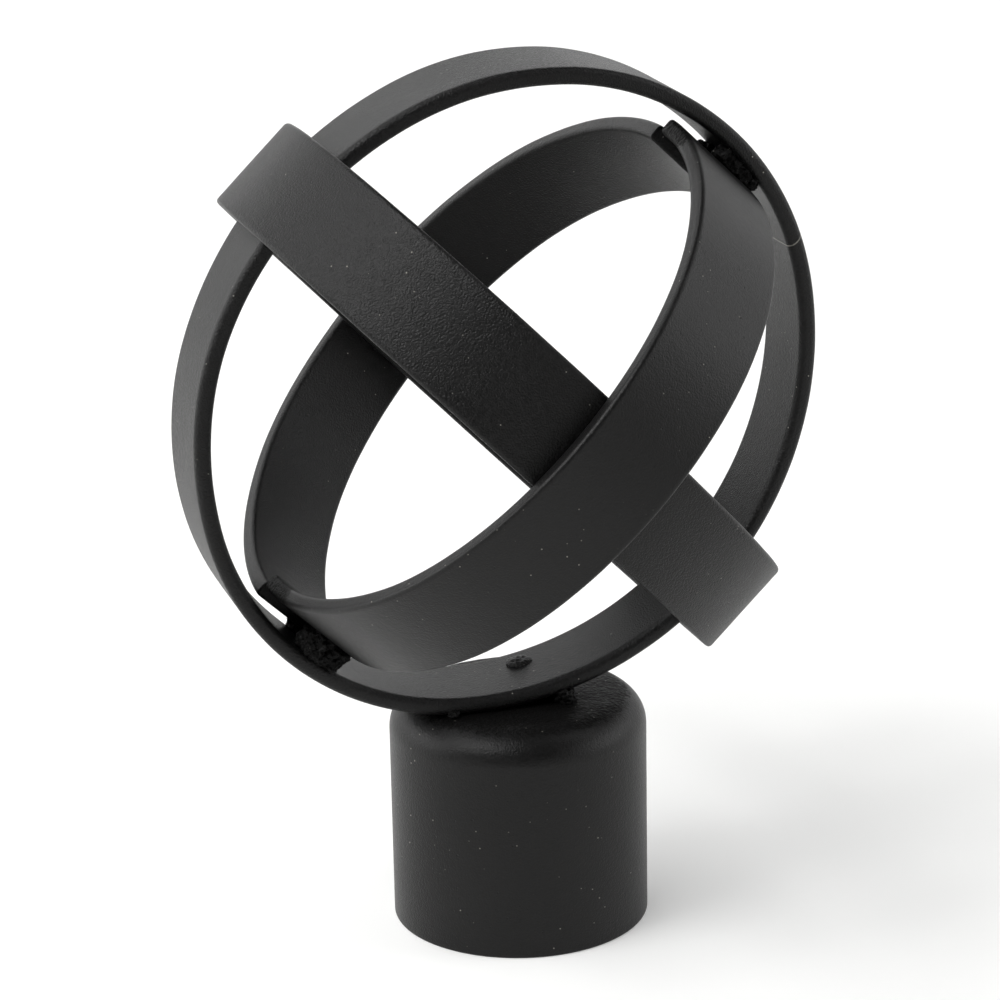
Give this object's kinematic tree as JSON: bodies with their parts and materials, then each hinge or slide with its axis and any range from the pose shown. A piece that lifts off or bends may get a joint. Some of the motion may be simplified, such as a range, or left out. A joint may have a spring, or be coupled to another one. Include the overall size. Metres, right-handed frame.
{
  "type": "curtain pole finial",
  "caption": "Curtain pole end: a round cap with an open sphere of interlaced flat strip rings welded on top, in black powder-coated steel.",
  "frame": {"origin": "centre of the cap's mouth, on the pole's axis", "axes": "+Z from the pole to the sphere, along the pole's axis, and -Y is the front, where the upright ring is seen face-on"},
  "size_m": [0.0739, 0.0798, 0.103],
  "materials": {
    "powder_coat": "satin black powder coat over steel, fine grain",
    "black_oxide": "black oxide set screw"
  },
  "bodies": {
    "root": {"pole_cap": "powder_coat", "upright_ring": "powder_coat", "leaning_ring": "powder_coat", "cross_band_front": "powder_coat", "cross_band_rear": "powder_coat", "plug_weld": "powder_coat", "weld_beads": "powder_coat", "grub_screw": "black_oxide"}
  },
  "joints": []
}
